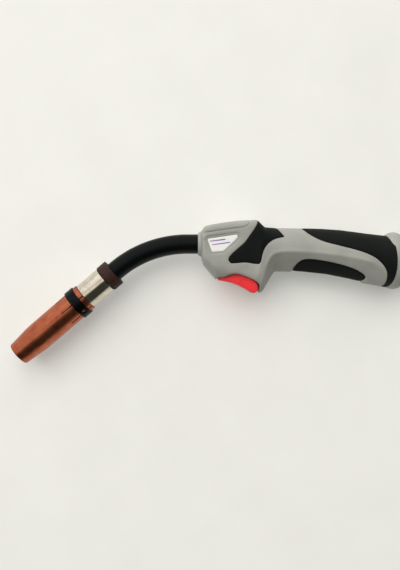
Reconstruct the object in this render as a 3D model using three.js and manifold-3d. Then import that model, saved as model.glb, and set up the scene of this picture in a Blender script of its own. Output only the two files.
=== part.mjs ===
// A gas-cooled MIG welding torch lying on its right side: X runs back towards the cable,
// Y from the trigger up to the top cover, and Z up through the torch from its right flank to
// its left flank. Millimetres. The torch is drawn about the neck's axis at the handle's front
// lip, and set down at the end so that its bounding box stands centred on the origin.
import * as THREE from "three";
import { LoftGeometry } from "three/addons/geometries/LoftGeometry.js";
import { mergeVertices } from "three/addons/utils/BufferGeometryUtils.js";
import Module from "manifold-3d";

const wasm = await Module();
wasm.setup();

// ---------------------------------------------------------------- driving dimensions

const clearance = 0.3; // air between any two pieces that touch or slide
const wall = 3.2; // handle shell
const partingGap = 0.3; // between the two shell halves
const roundSides = 20; // facets round the larger turned pieces

const neck = {
  bend: THREE.MathUtils.degToRad(40.7), // how far the nose turns down
  arcStartX: -9.3, // where the straight neck ends and the bend starts
  arcRadius: 98,
  coreRadius: 6,
  coreBore: 2.6,
  coverRadius: 8.65, // rubber cover over the core
  coverEnd: 9, // how far the cover runs past the bend
  coverRearX: 22,
  coreRearX: 28,
  coreEnd: 46,
};

const nozzle = { start: 35.3, length: 78.2, radius: 12.85, tipRadius: 10.7, taper: 21, bore: 9.5, mouth: 8.6 };
const slots = { count: 6, width: 0.8, length: 23.6, firstAngle: THREE.MathUtils.degToRad(36.5) };
const clampRing = { start: 39.2, width: 8.6, wall: 0.95, hole: 1.2, holeAngle: -50 };
const sleeve = { start: 11.9, shoulder: 35, end: 50, radius: 12, seatRadius: 11.2, bore: 9.8 };
const collar = { start: 1.8, end: 11.6, radius: 12.5 };
const diffuser = { length: 20, holes: 8, hole: 1 };
const holder = { shank: 3.9, shankDepth: 7.7, radius: 6, end: 88.7, threadDepth: 9.2, bore: 2.3 };
const tip = { shank: 3.9, radius: 5, end: 110, taper: 6, endRadius: 3, wireBore: 0.6 };
const liner = { radius: 1.9, bore: 1 };
const nut = { startX: 24, endX: 40, acrossFlats: 17 };
const connector = { endX: 76, radius: 8, bore: 3.2 };

// Outline of the handle at the plane where its halves meet, and its width, from lip to collar.
const topLine = [
  [3.1, 11.1], [5.6, 15], [13, 16.8], [20.7, 18.1], [34.6, 19.9], [52.1, 20.7], [54.8, 17.7],
  [58.6, 14.4], [69.1, 14.1], [90.8, 13.8], [108.6, 13.4], [126.4, 12.2], [149.5, 9.1], [165.5, 7.2],
];
const bottomLine = [
  [3.1, -12.6], [3.7, -17.6], [15.6, -31.6], [25.8, -33.4], [38.1, -37.7], [45.4, -42], [50, -43],
  [55.8, -43.2], [58.1, -40.5], [62.2, -33.2], [66.2, -26.4], [68.1, -24.3], [83.2, -24.8],
  [93.4, -25.6], [113.8, -27.8], [134.3, -31.9], [146.5, -34.8], [165.5, -38.2],
];
const halfWidths = [
  [3.1, 15], [5, 19.4], [7, 21.6], [14, 22.3], [50, 22.3], [60, 19.8], [75, 18], [100, 17.5],
  [130, 19.5], [150, 21.5], [165.5, 22.5],
];
const waistLine = [
  [3.1, 0], [50, 0], [65, -7.5], [90, -7.5], [110, -9.4], [130, -12], [150, -14.4], [165.5, -15.3],
];
const upperFullness = [[3.1, 5], [50, 5], [65, 2.3], [165.5, 2]];
const lowerFullness = [[3.1, 2.4], [50, 2.2], [65, 1.5], [140, 1.6], [165.5, 2]];
const flankFlat = 20.4; // the head's two flanks are flat at this half-width
const stations = [
  3.1, 4, 6, 10, 15.6, 20, 26, 32, 38, 45.4, 50, 52.1, 54.8, 57, 58.6, 62.2, 66.2, 68.5, 75, 84,
  96, 110, 124, 138, 150, 160, 165.5,
];
const lip = { radius: 11.1, length: 3.4, frontWall: 3.3 };

const pad = { depth: 1.5 }; // soft pads let into the shell
const padOutlines = {
  front_pad: [
    [69.6, 13.7], [75.4, 5.5], [67.2, 3.8], [61.7, 0.6], [57.7, -4.4], [55.7, -9.6], [54.5, -16.2],
    [52.5, -18.5], [47.8, -18.2], [41.2, -16.9], [34.6, -17.2], [29.4, -17.3], [26.8, -14.5],
    [27.3, -11], [33.3, -5.8], [40.4, 0.2], [43.1, 4.1], [47.8, 10.7], [51.5, 16.8], [52.6, 26],
    [70.2, 26],
  ],
  palm_pad: [
    [91.9, 26], [91.7, 13], [96.2, 8.4], [103, 3.9], [110.7, 0.7], [123.7, -2.6], [136.6, -6],
    [146.2, -9.4], [153.9, -13.7], [159.1, -19.2], [162.1, -27.8], [162.4, -50], [180, -50],
    [180, 26],
  ],
  finger_pad: [
    [82.4, -50], [83.2, -24.1], [86.4, -18.9], [90.6, -15.4], [96.5, -14.4], [107.7, -15.8],
    [121, -18.4], [134.4, -22.4], [142.1, -26.3], [146, -29.6], [147, -32.3], [146.5, -50],
  ],
};
const cover = {
  outline: [
    [4.4, 8.4], [20.8, 11], [35.4, 12.8], [40.4, 13.6], [42.7, 15.1], [45.2, 18.5], [47.4, 26], [4.4, 26],
  ],
  thickness: 5,
  tongue: 2.4, // how far its rebated edge reaches under the shell
};
const label = {
  outline: [[8.6, 2.9], [9.6, 3.6], [31.9, 6.8], [33.4, 6.2], [33.6, 5], [22.8, -6.6], [12.6, -7.6], [11.2, -6.6]],
  thickness: 0.9,
};

const trigger = {
  outline: [
    [18.4, -31.2], [19.2, -32.3], [25.8, -33.4], [30.9, -34.8], [38.1, -37.7], [45.4, -42],
    [47.6, -43.2], [49.8, -42.6], [51.4, -40.8], [51.6, -37.5], [50.2, -34.2], [47.5, -31],
    [44, -28], [43, -24.8], [25.6, -24.8], [24, -23.4], [20.2, -23.4], [18.4, -25.4],
  ],
  halfWidth: 9.3,
  sideGap: 0.5,
  pinX: 22,
  pinY: -27,
  pinRadius: 1,
};
const arch = [
  [16.5, -60], [16.5, -29.9], [22.3, -29.6], [26.6, -27.7], [30.2, -26.5], [33.6, -26.4],
  [38.4, -27.5], [46, -30.4], [50.5, -33.1], [53.9, -36.2], [53.9, -60],
]; // the lower edge of the shell round the trigger
const microswitch = { startX: 32, endX: 46, bottomY: -22, topY: -12, halfWidth: 3.2 };
const plunger = { x: 41, radius: 1.5, length: 4.7, travel: 1.7 };

const screw = { head: 2.8, headHeight: 2, shank: 1.5, sink: 2.5, reach: 8.5, boss: 4.4 };
const screwPlaces = [[11, -18], [76, -17], [92, 4], [150, -26]];
const ribs = [
  { x: 16, thickness: 3, bore: neck.coverRadius + clearance },
  { x: 60, thickness: 3, bore: connector.radius + clearance },
];
const lead = { radius: 1, y: -10.3, z: 2, splice: 2, spliceX: 90, spliceLength: 14 };

const bead = { centreX: 172.7, centreRadius: 15.2, radius: 10, startX: 165.8, endX: 180.5, axisY: -14.8 };
const ball = { x: 174, radius: 17.5, frontX: 162, rearX: 186.5, bore: 10.9 };
const spigot = { startX: 163, endX: 170.3, radius: 20.5 };
const socket = { bore: 7.5, endX: 193, flange: 12.5, lip: 0.6, lipLength: 1.2 };

// ---------------------------------------------------------------- making and cutting solids

function solid(geometry) {
  const bare = geometry.index ? geometry.toNonIndexed() : geometry.clone();
  bare.deleteAttribute("normal");
  bare.deleteAttribute("uv");
  const merged = mergeVertices(bare, 1e-3);
  const corners = merged.index.array;
  const kept = [];
  for (let i = 0; i < corners.length; i += 3) {
    const [a, b, c] = corners.slice(i, i + 3);
    if (a !== b && b !== c && c !== a) kept.push(a, b, c); // a face at a pole has no area
  }
  return new wasm.Manifold(
    new wasm.Mesh({
      numProp: 3,
      vertProperties: merged.attributes.position.array,
      triVerts: new Uint32Array(kept),
    }),
  );
}

function geometryOf(made) {
  const mesh = made.getMesh();
  const geometry = new THREE.BufferGeometry();
  geometry.setAttribute("position", new THREE.BufferAttribute(mesh.vertProperties, 3));
  geometry.setIndex(new THREE.BufferAttribute(mesh.triVerts, 1));
  geometry.computeVertexNormals();
  return geometry;
}

const joined = (...solids) => solids.reduce((all, next) => all.add(next));
const cut = (body, ...tools) => tools.reduce((left, tool) => left.subtract(tool), body);

// A solid turned about its own Y axis, from [radius, height] corners.
function turned(corners, sides = roundSides) {
  const profile = corners.map(([radius, height]) => new THREE.Vector2(radius, height));
  if (THREE.ShapeUtils.area(profile) < 0) profile.reverse();
  const onAxis = profile[0].x === 0 && profile.at(-1).x === 0;
  if (!onAxis) profile.push(profile[0].clone());
  return new THREE.LatheGeometry(profile, sides);
}

const ring = (inner, outer, from, to, sides) =>
  turned([[inner, from], [outer, from], [outer, to], [inner, to]], sides);
const disc = (radius, from, to, sides) => turned([[0, from], [radius, from], [radius, to], [0, to]], sides);

// The same, about an axis along X through (0, y, 0).
const alongX = (geometry, y = 0) => geometry.rotateZ(-Math.PI / 2).translate(0, y, 0);
// The same, about an axis through (x, y, 0), heights counting towards the right flank (-Z).
const alongZ = (geometry, x, y) => geometry.rotateX(-Math.PI / 2).translate(x, y, 0);

function block(x0, x1, y0, y1, z0, z1) {
  const box = new THREE.BoxGeometry(x1 - x0, y1 - y0, z1 - z0);
  return box.translate((x0 + x1) / 2, (y0 + y1) / 2, (z0 + z1) / 2);
}

// A side outline carried across the torch from z0 to z1.
function plate(outline, z0, z1) {
  const shape = new THREE.Shape(outline.map(([x, y]) => new THREE.Vector2(x, y)));
  const geometry = new THREE.ExtrudeGeometry(shape, { depth: z1 - z0, bevelEnabled: false });
  return geometry.translate(0, 0, z0);
}

// The same outline, larger all round by the given amount.
function grown(outline, by) {
  const points = outline.map(([x, y]) => new THREE.Vector2(x, y));
  const side = Math.sign(THREE.ShapeUtils.area(points));
  return points.map((point, i) => {
    const before = points.at(i - 1);
    const after = points[(i + 1) % points.length];
    const into = point.clone().sub(before).normalize();
    const out = after.clone().sub(point).normalize();
    const normal = new THREE.Vector2(into.y + out.y, -into.x - out.x).normalize();
    const reach = (side * by) / Math.max(0.5, normal.x * out.y - normal.y * out.x);
    return [point.x + normal.x * reach, point.y + normal.y * reach];
  });
}

// ---------------------------------------------------------------- the handle's shape

function valueAt(line, x) {
  const after = line.findIndex(([place]) => place >= x);
  if (after === 0) return line[0][1];
  if (after < 0) return line.at(-1)[1];
  const [x0, y0] = line[after - 1];
  const [x1, y1] = line[after];
  return y0 + ((y1 - y0) * (x - x0)) / (x1 - x0);
}

// Rounded section at one station, drawn in by `inset` from the outer surface.
function handleSection(x, inset, points = 16) {
  const waist = valueAt(waistLine, x);
  const halfWidth = valueAt(halfWidths, x) - inset;
  const section = [];
  for (let i = 0; i < points; i++) {
    const angle = (i / points) * 2 * Math.PI;
    const up = Math.sin(angle);
    const edge = valueAt(up >= 0 ? topLine : bottomLine, x) - Math.sign(up) * inset;
    const power = 2 / valueAt(up >= 0 ? upperFullness : lowerFullness, x);
    const across = Math.cos(angle);
    const y = waist + Math.abs(edge - waist) * Math.sign(up) * Math.abs(up) ** power;
    const z = -halfWidth * Math.sign(across) * Math.abs(across) ** power;
    section.push(new THREE.Vector3(x, y, THREE.MathUtils.clamp(z, inset - flankFlat, flankFlat - inset)));
  }
  return section;
}

function handleSolid(inset, fromX = stations[0]) {
  const places = [fromX, ...stations.filter((x) => x > fromX + 0.5)];
  const sections = places.map((x) => handleSection(x, inset));
  return solid(new LoftGeometry(sections, { capStart: true, capEnd: true }));
}

// Half-width of the outer surface at a point of the side view.
function flankAt(x, y) {
  const waist = valueAt(waistLine, x);
  const edge = valueAt(y >= waist ? topLine : bottomLine, x);
  const power = valueAt(y >= waist ? upperFullness : lowerFullness, x);
  const share = Math.min(1, Math.abs((y - waist) / (edge - waist)));
  return Math.min(flankFlat, valueAt(halfWidths, x) * (1 - share ** power) ** (1 / power));
}

const outer = handleSolid(0);
const inner = handleSolid(wall, lip.frontWall + stations[0]);
const reach = 60; // longer than the handle is wide

// ---------------------------------------------------------------- materials

const looks = {
  greyPlastic: { color: 0xa7a8a2, roughness: 0.5, metalness: 0 },
  blackRubber: { color: 0x15181a, roughness: 0.7, metalness: 0 },
  redPlastic: { color: 0xd8363c, roughness: 0.4, metalness: 0 },
  whiteLabel: { color: 0xe6e6e2, roughness: 0.4, metalness: 0 },
  copper: { color: 0xb8734f, roughness: 0.3, metalness: 1 },
  blackSteel: { color: 0x1b1b1c, roughness: 0.4, metalness: 0.9 },
  nickel: { color: 0xb1ab95, roughness: 0.2, metalness: 1 },
  phenolic: { color: 0x3c2622, roughness: 0.5, metalness: 0 },
  brass: { color: 0xb9994f, roughness: 0.3, metalness: 1 },
  ceramic: { color: 0xe9e6dc, roughness: 0.6, metalness: 0 },
  steel: { color: 0x9a9c9e, roughness: 0.3, metalness: 1 },
};

const torch = new THREE.Group();

function add(name, made, look, group = torch) {
  const geometry = made.isBufferGeometry ? geometryOf(solid(made)) : geometryOf(made);
  const mesh = new THREE.Mesh(geometry, new THREE.MeshStandardMaterial(looks[look]));
  mesh.name = name;
  group.add(mesh);
}

// ---------------------------------------------------------------- neck

// The neck's centre line: straight out of the handle, round the bend, then straight again.
// `past` is the distance beyond the end of the bend.
const arcCentre = new THREE.Vector3(neck.arcStartX, -neck.arcRadius, 0);
function arcPoint(turn) {
  const out = new THREE.Vector3(-Math.sin(turn), Math.cos(turn), 0);
  return { at: arcCentre.clone().addScaledVector(out, neck.arcRadius), out };
}
const bendEnd = arcPoint(neck.bend);

function bentRod(radius, rearX, past, sides = 12) {
  const steps = 7;
  const places = [{ at: new THREE.Vector3(rearX, 0, 0), out: new THREE.Vector3(0, 1, 0) }];
  for (let i = 0; i <= steps; i++) places.push(arcPoint((neck.bend * i) / steps));
  const along = new THREE.Vector3(-Math.cos(neck.bend), -Math.sin(neck.bend), 0);
  places.push({ at: bendEnd.at.clone().addScaledVector(along, past), out: bendEnd.out });
  const sections = places.map(({ at, out }) => {
    const section = [];
    for (let i = 0; i < sides; i++) {
      const angle = (i / sides) * 2 * Math.PI;
      const point = at.clone().addScaledVector(out, radius * Math.cos(angle));
      section.push(point.setZ(-radius * Math.sin(angle)));
    }
    return section;
  });
  return solid(new LoftGeometry(sections, { capStart: true, capEnd: true }));
}

// Pieces on the nose are turned about its axis, their heights measured past the bend.
const nose = new THREE.Group();
nose.position.copy(bendEnd.at);
nose.rotation.z = Math.PI / 2 + neck.bend;
torch.add(nose);
nose.updateMatrix();
const onNose = (geometry) => geometry.applyMatrix4(nose.matrix);

const coreSocket = disc(holder.shank + clearance, neck.coreEnd - holder.shankDepth - clearance, neck.coreEnd + 5);
const core = cut(
  bentRod(neck.coreRadius, neck.coreRearX, neck.coreEnd),
  bentRod(neck.coreBore, neck.coreRearX + 5, neck.coreEnd + 5, 8),
  solid(onNose(coreSocket)),
);
add("neck_core", core, "brass");
add(
  "neck_cover",
  cut(
    bentRod(neck.coverRadius, neck.coverRearX, neck.coverEnd, 16),
    bentRod(neck.coreRadius + clearance, neck.coverRearX + 5, neck.coverEnd + 5),
  ),
  "blackRubber",
);
const linerEnd = holder.end - holder.threadDepth - 2;
add(
  "wire_liner",
  cut(
    bentRod(liner.radius, connector.endX, linerEnd, 8),
    bentRod(liner.bore, connector.endX + 5, linerEnd + 5, 8),
  ),
  "steel",
);

const nutRadius = nut.acrossFlats / 2 / Math.cos(Math.PI / 6);
const nutBore = disc(neck.coreRadius + clearance, nut.startX - 1, nut.endX + 1, 12);
add(
  "neck_nut",
  cut(solid(alongX(disc(nutRadius, nut.startX, nut.endX, 6))), solid(alongX(nutBore))),
  "brass",
);
add(
  "cable_connector",
  alongX(ring(connector.bore, connector.radius, nut.endX + clearance, connector.endX, 16)),
  "brass",
);

// ---------------------------------------------------------------- nose

add(
  "insulator_collar",
  turned([
    [neck.coverRadius + clearance, collar.start], [collar.radius, collar.start],
    [collar.radius, collar.end], [neck.coreRadius + clearance, collar.end],
    [neck.coreRadius + clearance, neck.coverEnd + clearance],
    [neck.coverRadius + clearance, neck.coverEnd + clearance],
  ]),
  "phenolic",
  nose,
);
// The sleeve steps down at its shoulder, where the nozzle's rim stops.
add(
  "head_sleeve",
  turned([
    [sleeve.bore, sleeve.start], [sleeve.radius, sleeve.start], [sleeve.radius, sleeve.shoulder],
    [sleeve.seatRadius, sleeve.shoulder], [sleeve.seatRadius, sleeve.end], [sleeve.bore, sleeve.end],
  ]),
  "nickel",
  nose,
);
add(
  "sleeve_insulator",
  ring(
    neck.coreRadius + clearance,
    sleeve.bore - clearance,
    sleeve.start,
    neck.coreEnd,
  ),
  "phenolic",
  nose,
);

// The diffuser fills the space between the tip holder and the nozzle, past the core's end.
const diffuserInner = holder.radius + clearance;
const diffuserRadius = nozzle.bore - clearance;
const diffuserStart = neck.coreEnd + clearance;
const diffuserHoles = [];
for (let i = 0; i < diffuser.holes; i++) {
  const hole = disc(diffuser.hole, diffuserInner - 1, diffuserRadius + 1, 6);
  hole.rotateZ(Math.PI / 2).rotateY((i / diffuser.holes) * 2 * Math.PI);
  diffuserHoles.push(solid(hole.translate(0, diffuserStart + 0.7 * diffuser.length, 0)));
}
add(
  "gas_diffuser",
  cut(
    solid(ring(diffuserInner, diffuserRadius, diffuserStart, diffuserStart + diffuser.length)),
    ...diffuserHoles,
  ),
  "ceramic",
  nose,
);

const threadStart = holder.end - holder.threadDepth;
add(
  "tip_holder",
  turned(
    [
      [holder.bore, neck.coreEnd - holder.shankDepth], [holder.shank, neck.coreEnd - holder.shankDepth],
      [holder.shank, neck.coreEnd + clearance], [holder.radius, neck.coreEnd + clearance],
      [holder.radius, holder.end], [tip.shank + clearance, holder.end],
      [tip.shank + clearance, threadStart], [holder.bore, threadStart],
    ],
    16,
  ),
  "brass",
  nose,
);
add(
  "contact_tip",
  turned(
    [
      [tip.wireBore, threadStart + clearance], [tip.shank, threadStart + clearance],
      [tip.shank, holder.end + clearance], [tip.radius, holder.end + clearance],
      [tip.radius, tip.end - tip.taper], [tip.endRadius, tip.end], [tip.wireBore, tip.end],
    ],
    12,
  ),
  "copper",
  nose,
);

// The nozzle slips over the sleeve; six slots from its rear rim let it spring, and the clamp
// ring squeezes them.
const nozzleEnd = nozzle.start + nozzle.length;
const nozzleSeat = sleeve.seatRadius + clearance;
const nozzleSlots = [];
for (let i = 0; i < slots.count; i++) {
  const slot = block(
    nozzle.bore - 1, nozzle.radius + 1,
    nozzle.start - 1, nozzle.start + slots.length,
    -slots.width / 2, slots.width / 2,
  );
  nozzleSlots.push(solid(slot.rotateY(slots.firstAngle + (i / slots.count) * 2 * Math.PI)));
}
add(
  "gas_nozzle",
  cut(
    solid(
      turned([
        [nozzleSeat, nozzle.start], [nozzle.radius, nozzle.start],
        [nozzle.radius, nozzleEnd - nozzle.taper], [nozzle.tipRadius, nozzleEnd],
        [nozzle.mouth, nozzleEnd], [nozzle.bore, nozzleEnd - nozzle.taper],
        [nozzle.bore, sleeve.end + 5 * clearance], [nozzleSeat, sleeve.end + clearance],
      ]),
    ),
    ...nozzleSlots,
  ),
  "copper",
  nose,
);
const ringInner = nozzle.radius + clearance;
const ringHole = disc(clampRing.hole, ringInner - 2, ringInner + clampRing.wall + 2, 8);
ringHole.rotateX(Math.PI / 2).rotateY(THREE.MathUtils.degToRad(clampRing.holeAngle));
ringHole.translate(0, clampRing.start + clampRing.width / 2, 0);
add(
  "nozzle_clamp_ring",
  cut(
    solid(ring(ringInner, ringInner + clampRing.wall, clampRing.start, clampRing.start + clampRing.width)),
    solid(ringHole),
  ),
  "blackSteel",
  nose,
);

// ---------------------------------------------------------------- handle shells

const triggerPin = { half: 11.5 };
const pinHole = trigger.pinRadius + clearance;
const neckBore = solid(alongX(disc(neck.coverRadius + clearance, -5, neck.coverRearX)));
const shellCuts = [
  plate(arch, -reach, reach),
  block(
    arch[0][0], arch.at(-1)[0], -reach, microswitch.bottomY + 1,
    -trigger.halfWidth - trigger.sideGap, trigger.halfWidth + trigger.sideGap,
  ), // the trigger's slot
  alongZ(disc(pinHole, -triggerPin.half - clearance, triggerPin.half + clearance, 8), trigger.pinX, trigger.pinY),
].map(solid);

const shellRibs = ribs.map(({ x, thickness, bore }) =>
  cut(
    solid(block(x, x + thickness, -reach, reach, -reach, reach)).intersect(outer),
    solid(alongX(disc(bore, x - 1, x + thickness + 1))),
  ),
);
const leadNotch = block(
  ribs[1].x - 1, ribs[1].x + ribs[1].thickness + 1,
  lead.y - 2 * lead.radius, lead.y + 3, -lead.z - 2 * lead.radius, lead.z + 2 * lead.radius,
);
const switchCheeks = [-1, 1].map((side) =>
  solid(
    block(
      microswitch.startX + 4, microswitch.endX - 4, microswitch.bottomY + 2, microswitch.topY - 2,
      Math.min(side * (microswitch.halfWidth + clearance), side * reach),
      Math.max(side * (microswitch.halfWidth + clearance), side * reach),
    ),
  ).intersect(outer),
);
const pinBoss = solid(alongZ(disc(3.4, -reach, reach, 12), trigger.pinX, trigger.pinY)).intersect(outer);
const screwBosses = screwPlaces.map(([x, y]) =>
  solid(alongZ(disc(screw.boss, -reach, reach, 16), x, y)).intersect(outer),
);

// Rear spigot: it carries the collar outside, and half of the ball's seat inside. The seat's
// flats, not its corners, keep the clearance to the ball.
const seatRadius = (ball.radius + clearance) / Math.cos(Math.PI / roundSides) ** 2;
const seatSphere = solid(
  new THREE.SphereGeometry(seatRadius, roundSides, roundSides / 2)
    .rotateZ(Math.PI / 2)
    .translate(ball.x, bead.axisY, 0),
);
const rearSpigot = solid(alongX(ring(ball.bore, spigot.radius, spigot.startX, spigot.endX), bead.axisY));

const coverTongue = cover.outline.map(([x, y]) => [x + 2, y - cover.tongue]);
const coverWell = handleSolid(cover.thickness + clearance, lip.frontWall + stations[0]);
const coverCuts = [
  cut(solid(plate(grown(cover.outline, clearance), -reach, reach)), inner),
  cut(solid(plate(grown(coverTongue, clearance), -reach, reach)).intersect(inner), coverWell),
];
const pocketFloor = handleSolid(pad.depth + clearance);
const padPockets = Object.values(padOutlines).map((outline) =>
  cut(solid(plate(grown(outline, clearance), -reach, reach)), pocketFloor),
);

let shell = cut(outer, inner);
shell = joined(shell, ...shellRibs, ...switchCheeks, pinBoss, ...screwBosses, rearSpigot);
shell = joined(shell, solid(alongX(disc(lip.radius, 0, lip.length))));
shell = cut(shell, neckBore, ...shellCuts, ...coverCuts, ...padPockets, seatSphere, solid(leadNotch));

const half = (side) =>
  solid(
    side > 0
      ? block(-reach, 4 * reach, -reach, reach, partingGap / 2, reach)
      : block(-reach, 4 * reach, -reach, reach, -reach, -partingGap / 2),
  );

const labelWell = plate(grown(label.outline, clearance), flankFlat - label.thickness - clearance, reach);
const threadHoles = screwPlaces.map(([x, y]) =>
  solid(alongZ(disc(screw.shank + clearance, -screw.reach - clearance, 1, 8), x, y)),
);
const screwHoles = screwPlaces.flatMap(([x, y]) => {
  const seat = flankAt(x, y) - screw.sink - screw.headHeight;
  return [
    solid(alongZ(disc(screw.shank + clearance, -1, reach, 8), x, y)),
    solid(alongZ(disc(screw.head + clearance, seat - clearance, reach, 16), x, y)),
  ];
});
add("handle_shell_left", cut(shell.intersect(half(1)), ...threadHoles, solid(labelWell)), "greyPlastic");
add("handle_shell_right", cut(shell.intersect(half(-1)), ...screwHoles), "greyPlastic");
screwPlaces.forEach(([x, y], i) => {
  const top = flankAt(x, y) - screw.sink;
  const profile = [
    [0, -screw.reach], [screw.shank, -screw.reach], [screw.shank, top - screw.headHeight],
    [screw.head, top - screw.headHeight], [screw.head, top], [0, top],
  ];
  add("handle_screw_" + (i + 1), alongZ(turned(profile, 12), x, y), "steel");
});

const padBack = handleSolid(pad.depth);
for (const [name, outline] of Object.entries(padOutlines)) {
  const both = cut(solid(plate(outline, -reach, reach)).intersect(outer), padBack);
  add(name + "_left", both.intersect(half(1)), "blackRubber");
  add(name + "_right", both.intersect(half(-1)), "blackRubber");
}

const coverBack = handleSolid(cover.thickness, lip.frontWall + stations[0] + clearance);
const tongueFace = handleSolid(wall + clearance, lip.frontWall + stations[0] + clearance);
add(
  "top_cover",
  cut(
    joined(
      cut(solid(plate(cover.outline, -reach, reach)).intersect(outer), coverBack),
      cut(solid(plate(coverTongue, -reach, reach)).intersect(tongueFace), coverBack),
    ),
    neckBore,
  ),
  "greyPlastic",
);
add("label_plate", plate(label.outline, flankFlat - label.thickness, flankFlat), "whiteLabel");

// ---------------------------------------------------------------- trigger and switch

add(
  "trigger",
  cut(
    solid(plate(trigger.outline, -trigger.halfWidth, trigger.halfWidth)),
    solid(alongZ(disc(pinHole, -reach, reach, 8), trigger.pinX, trigger.pinY)),
  ),
  "redPlastic",
);
add(
  "trigger_pin",
  alongZ(disc(trigger.pinRadius, -triggerPin.half, triggerPin.half, 8), trigger.pinX, trigger.pinY),
  "steel",
);
const plungerTip = Math.max(...trigger.outline.filter(([x]) => x > plunger.x).map(([, y]) => y)) + clearance;
const plungerTop = plungerTip + plunger.length;
add(
  "microswitch_body",
  cut(
    solid(
      block(
        microswitch.startX, microswitch.endX, microswitch.bottomY, microswitch.topY,
        -microswitch.halfWidth, microswitch.halfWidth,
      ),
    ),
    solid(disc(plunger.radius + clearance, -reach, plungerTop + plunger.travel + clearance, 8)
      .translate(plunger.x, 0, 0)),
  ),
  "blackRubber",
);
add("switch_plunger", disc(plunger.radius, plungerTip, plungerTop, 8).translate(plunger.x, 0, 0), "redPlastic");

// Two control leads from the switch, under the connector, to their splices.
const leadSpan = lead.spliceX - microswitch.endX;
[-1, 1].forEach((side, i) => {
  const z = side * lead.z;
  const route = new THREE.CatmullRomCurve3([
    new THREE.Vector3(microswitch.endX + clearance, microswitch.topY - 2.2, z),
    new THREE.Vector3(microswitch.endX + 4, microswitch.topY - 2, z),
    new THREE.Vector3(microswitch.endX + 0.3 * leadSpan, lead.y, z),
    new THREE.Vector3(lead.spliceX, lead.y, z),
  ]);
  const section = new THREE.Shape().absarc(0, 0, lead.radius, 0, 2 * Math.PI);
  const geometry = new THREE.ExtrudeGeometry(section, { steps: 12, curveSegments: 4, extrudePath: route });
  add("control_lead_" + (i + 1), geometry, i ? "redPlastic" : "blackRubber");
  const spliceStart = lead.spliceX + clearance;
  const splice = disc(0.9 * lead.splice, spliceStart, spliceStart + lead.spliceLength, 8);
  add("lead_splice_" + (i + 1), alongX(splice, lead.y).translate(0, 0, 1.2 * z), "whiteLabel");
});

// ---------------------------------------------------------------- rear collar and cable inlet

// The collar's outside is a round bead; inside, it grips the spigot and closes on the ball.
const beadProfile = [];
const beadSteps = 6;
for (let i = 0; i <= beadSteps; i++) {
  const x = bead.startX + ((bead.endX - bead.startX) * i) / beadSteps;
  beadProfile.push([bead.centreRadius + Math.sqrt(bead.radius ** 2 - (x - bead.centreX) ** 2), x]);
}
const grip = spigot.radius + clearance;
const gripEnd = spigot.endX + clearance;
add(
  "rear_collar",
  cut(
    solid(alongX(
      turned([...beadProfile, [ball.bore, bead.endX], [ball.bore, gripEnd], [grip, gripEnd], [grip, bead.startX]]),
      bead.axisY,
    )),
    seatSphere,
  ),
  "greyPlastic",
);

const ballCorners = [];
const frontAngle = Math.acos((ball.frontX - ball.x) / ball.radius);
const rearAngle = Math.acos((ball.rearX - ball.x) / ball.radius);
const ballSteps = 8;
for (let i = 0; i <= ballSteps; i++) {
  const angle = frontAngle + ((rearAngle - frontAngle) * i) / ballSteps;
  ballCorners.push([ball.radius * Math.sin(angle), ball.x + ball.radius * Math.cos(angle)]);
}
add(
  "swivel_ball",
  alongX(turned([...ballCorners, [ball.bore, ball.rearX], [ball.bore, ball.frontX]]), bead.axisY),
  "blackRubber",
);
const socketRadius = ball.bore - clearance;
const lipX = ball.frontX - clearance;
const flangeX = ball.rearX + clearance;
add(
  "cable_socket",
  alongX(
    turned([
      [socket.bore, lipX - socket.lipLength], [ball.bore + socket.lip, lipX - socket.lipLength],
      [ball.bore + socket.lip, lipX], [socketRadius, lipX], [socketRadius, flangeX],
      [socket.flange, flangeX], [socket.flange, socket.endX], [socket.bore, socket.endX],
    ]),
    bead.axisY,
  ),
  "blackRubber",
);

// ---------------------------------------------------------------- set down on its side

const box = new THREE.Box3().setFromObject(torch);
torch.position.set(-(box.min.x + box.max.x) / 2, -(box.min.y + box.max.y) / 2, -box.min.z);
const root = new THREE.Group();
root.add(torch);

export default root;
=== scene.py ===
import math
import bpy
import numpy as np
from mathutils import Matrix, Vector
from mathutils.geometry import delaunay_2d_cdt
from mathutils.kdtree import KDTree


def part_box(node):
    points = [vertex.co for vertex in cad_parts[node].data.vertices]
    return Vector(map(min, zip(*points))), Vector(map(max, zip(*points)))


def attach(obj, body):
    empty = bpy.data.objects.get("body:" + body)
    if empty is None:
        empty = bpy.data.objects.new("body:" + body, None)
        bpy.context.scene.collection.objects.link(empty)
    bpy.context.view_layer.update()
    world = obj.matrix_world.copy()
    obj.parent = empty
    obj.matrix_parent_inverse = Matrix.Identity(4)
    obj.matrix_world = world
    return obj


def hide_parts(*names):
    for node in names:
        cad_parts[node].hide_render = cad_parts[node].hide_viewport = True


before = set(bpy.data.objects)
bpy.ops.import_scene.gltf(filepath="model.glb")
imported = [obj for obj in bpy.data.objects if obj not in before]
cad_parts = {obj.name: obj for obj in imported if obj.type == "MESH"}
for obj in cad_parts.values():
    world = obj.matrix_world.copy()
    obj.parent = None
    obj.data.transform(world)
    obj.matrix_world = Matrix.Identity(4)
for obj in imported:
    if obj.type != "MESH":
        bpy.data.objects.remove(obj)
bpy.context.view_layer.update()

# A gas-cooled MIG torch lying on its side. Shapes are worked out in millimetres from the point
# where the neck's axis meets the handle's front lip: x back along the handle, y up to the top
# cover, z out of the left flank.
print("frame loaded:", len(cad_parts), "nodes")


def middle(node, axis):
    low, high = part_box(node)
    return (low[axis] + high[axis]) / 2


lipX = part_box("handle_shell_left")[0][0]
start = Vector((lipX, middle("neck_nut", 1), middle("neck_nut", 2)))


def inFrame(points):
    # millimetres about the lip to metres in the frame
    return np.asarray(points, float) / 1000 + np.array(start)


# ---- materials

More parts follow.
